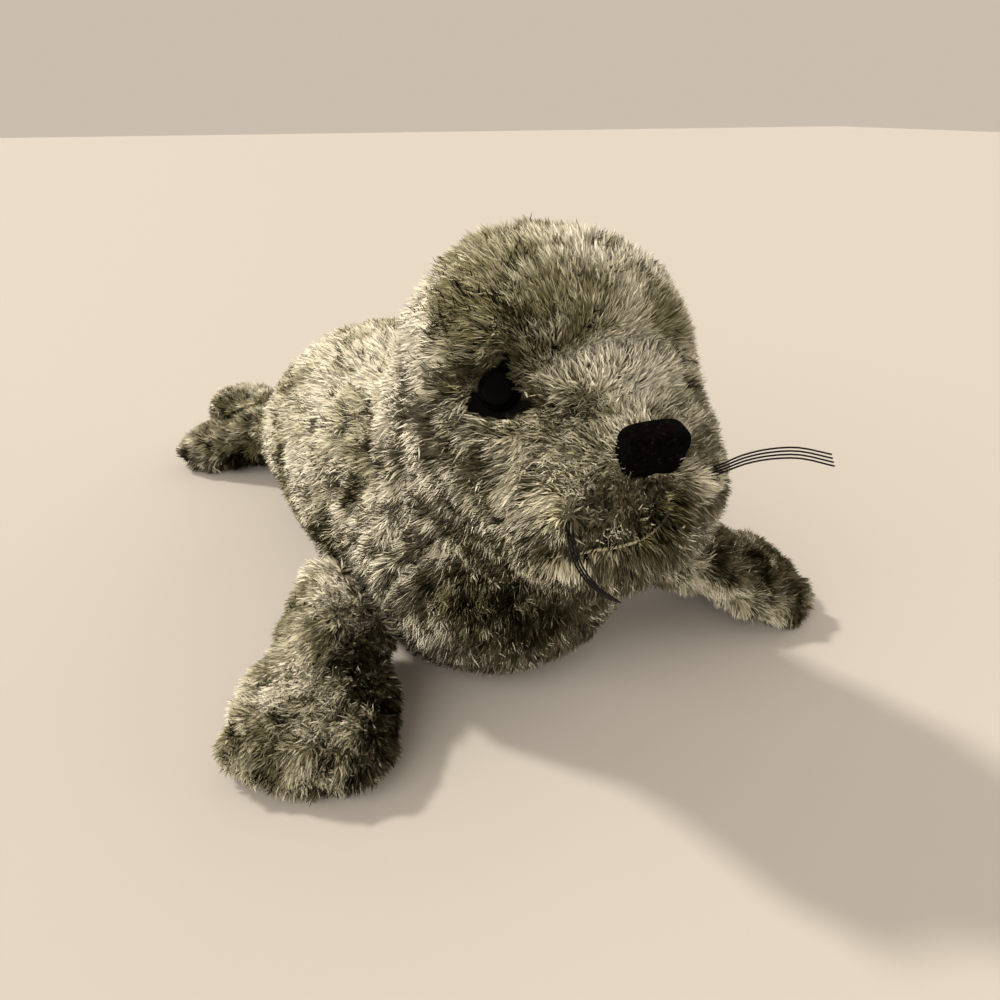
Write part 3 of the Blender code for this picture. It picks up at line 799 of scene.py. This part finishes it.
# Lock washers: plain white plastic rings, pressed on the eyes' posts behind the cloth, where they hold
# the eyes in place out of sight.
washer_white = Finish("washer_white", {"Roughness": 0.45})
grain = washer_white.noise(260.0, 2.0)
tint = washer_white.add("ShaderNodeValToRGB", {"stops": [
    (0.0, (0.62, 0.61, 0.57)), (1.0, (0.78, 0.77, 0.73)),
]}, {"Fac": grain})
washer_white.feed(washer_white.shader.inputs["Base Color"], shader_colour(tint))
for washer in ("eye_washer_right", "eye_washer_left"):
    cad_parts[washer].data.materials.clear()
    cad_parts[washer].data.materials.append(washer_white.material)

# Nose: a pad of black velvet cloth over a little stuffing, a rounded four-sided cushion that is fixed
# half sunk in the muzzle's end.
NOSE_HALF = np.array([0.0100, 0.0054, 0.0078])
NOSE_POWER = 0.50
NOSE_TILT = math.radians(17)
velvet = Finish("black_velvet", {"Roughness": 1.0, "Specular IOR Level": 0.0, "Sheen Weight": 0.006})
nap = velvet.noise(700.0, 4.0)
pile_shade = velvet.add("ShaderNodeValToRGB", {"stops": [
    (0.30, (0.0008, 0.0007, 0.0007)), (0.62, (0.0026, 0.0023, 0.0021)), (0.85, (0.018, 0.015, 0.013)),
]}, {"Fac": nap})
velvet.feed(velvet.shader.inputs["Base Color"], shader_colour(pile_shade))
velvet.bump(velvet.noise(2200.0, 3.0), 0.9, 0.0004)


def nose_pad():
    """A superellipsoid: sines and cosines of two angles raised to a low power, narrower at its foot."""
    low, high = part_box("nose")
    middle = (np.array(low) + np.array(high)) / 2.0
    around, rows = 72, 40
    turn = np.linspace(0.0, 2.0 * math.pi, around, endpoint=False)
    climb = np.linspace(-math.pi / 2.0, math.pi / 2.0, rows + 2)[1:-1]

    def bulge(value):
        return np.sign(value) * np.abs(value) ** NOSE_POWER

    x = bulge(np.cos(turn))[None, :] * bulge(np.cos(climb))[:, None]
    z = bulge(np.sin(turn))[None, :] * bulge(np.cos(climb))[:, None]
    y = bulge(np.sin(climb))[:, None] + 0 * x
    x = x * (1.0 + 0.07 * z)
    dent = 0.12 * np.exp(-((x / 0.16) ** 2)) * np.clip(-z - 0.1, 0.0, 1.0)
    wide, deep, tall = NOSE_HALF
    places = np.stack([x * wide, (y + dent * (y < 0)) * deep, z * tall], axis=2).reshape(-1, 3)
    cos, sin = math.cos(NOSE_TILT), math.sin(NOSE_TILT)
    lean = np.array([[1, 0, 0], [0, cos, sin], [0, -sin, cos]])
    places = places @ lean + middle
    caps = np.array([[0.0, -deep, 0.0], [0.0, deep, 0.0]]) @ lean + middle
    return places, caps, around, rows


pad_places, pad_caps, around, rows = nose_pad()
pad_faces = []
for row in range(rows - 1):
    first, second = row * around, (row + 1) * around
    for step in range(around):
        after = (step + 1) % around
        pad_faces.append((first + step, first + after, second + after, second + step))
for step in range(around):
    after = (step + 1) % around
    pad_faces.append((around * rows, after, step))
    pad_faces.append((around * rows + 1, (rows - 1) * around + step, (rows - 1) * around + after))
pad_mesh = bpy.data.meshes.new("nose_pad")
pad_mesh.from_pydata(np.concatenate([pad_places, pad_caps]).tolist(), [], pad_faces)
pad_shape = bmesh.new()
pad_shape.from_mesh(pad_mesh)
bmesh.ops.recalc_face_normals(pad_shape, faces=pad_shape.faces)
pad_shape.to_mesh(pad_mesh)
pad_shape.free()
pad_mesh.polygons.foreach_set("use_smooth", np.ones(len(pad_mesh.polygons), dtype=bool))
pad_piece = add_piece("nose_pad", pad_mesh, velvet)
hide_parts("nose")

# Mouth: a pale thread drawn tight along the bottom of a crease in the muzzle, which it pulls in. Towards its
# end under the nose it is painted dark, for the shade of the fold there.
thread_finish = Finish("pale_thread", {"Roughness": 0.7})
ply = thread_finish.noise(1500.0, 2.0)
across = thread_finish.add("ShaderNodeSeparateXYZ", {}, {
    "Vector": thread_finish.add("ShaderNodeTexCoord").outputs["Object"],
})
# Painted shade: the thread turns near black towards its end under the nose, in the fold; the noise adds its
# own ply.
fold_shade_and_ply = Value(thread_finish, across.outputs["X"]) * 110.0 + 0.95 + (ply - 0.5) * 0.6
thread_shade = thread_finish.add("ShaderNodeValToRGB", {"stops": [
    (0.0, (0.40, 0.355, 0.24)), (0.45, (0.24, 0.21, 0.13)), (0.75, (0.030, 0.025, 0.014)),
]}, {"Fac": fold_shade_and_ply})
thread_finish.feed(thread_finish.shader.inputs["Base Color"], shader_colour(thread_shade))
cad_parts["mouth_thread"].data.materials.clear()
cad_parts["mouth_thread"].data.materials.append(thread_finish.material)

# Whiskers: stiff black nylon filaments, knotted together inside the muzzle, four on the left side and
# three on the right. The solids stay as they are, and get the nylon's finish.
nylon = Finish("black_nylon", {"Roughness": 0.22, "Specular IOR Level": 0.08})
filament = nylon.noise(420.0, 2.0)
nylon_shade = nylon.add("ShaderNodeValToRGB", {"stops": [
    (0.0, (0.002, 0.002, 0.002)), (1.0, (0.009, 0.009, 0.010)),
]}, {"Fac": filament})
nylon.feed(nylon.shader.inputs["Base Color"], shader_colour(nylon_shade))
for node_name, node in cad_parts.items():
    if node_name.startswith("whisker_"):
        node.data.materials.clear()
        node.data.materials.append(nylon.material)
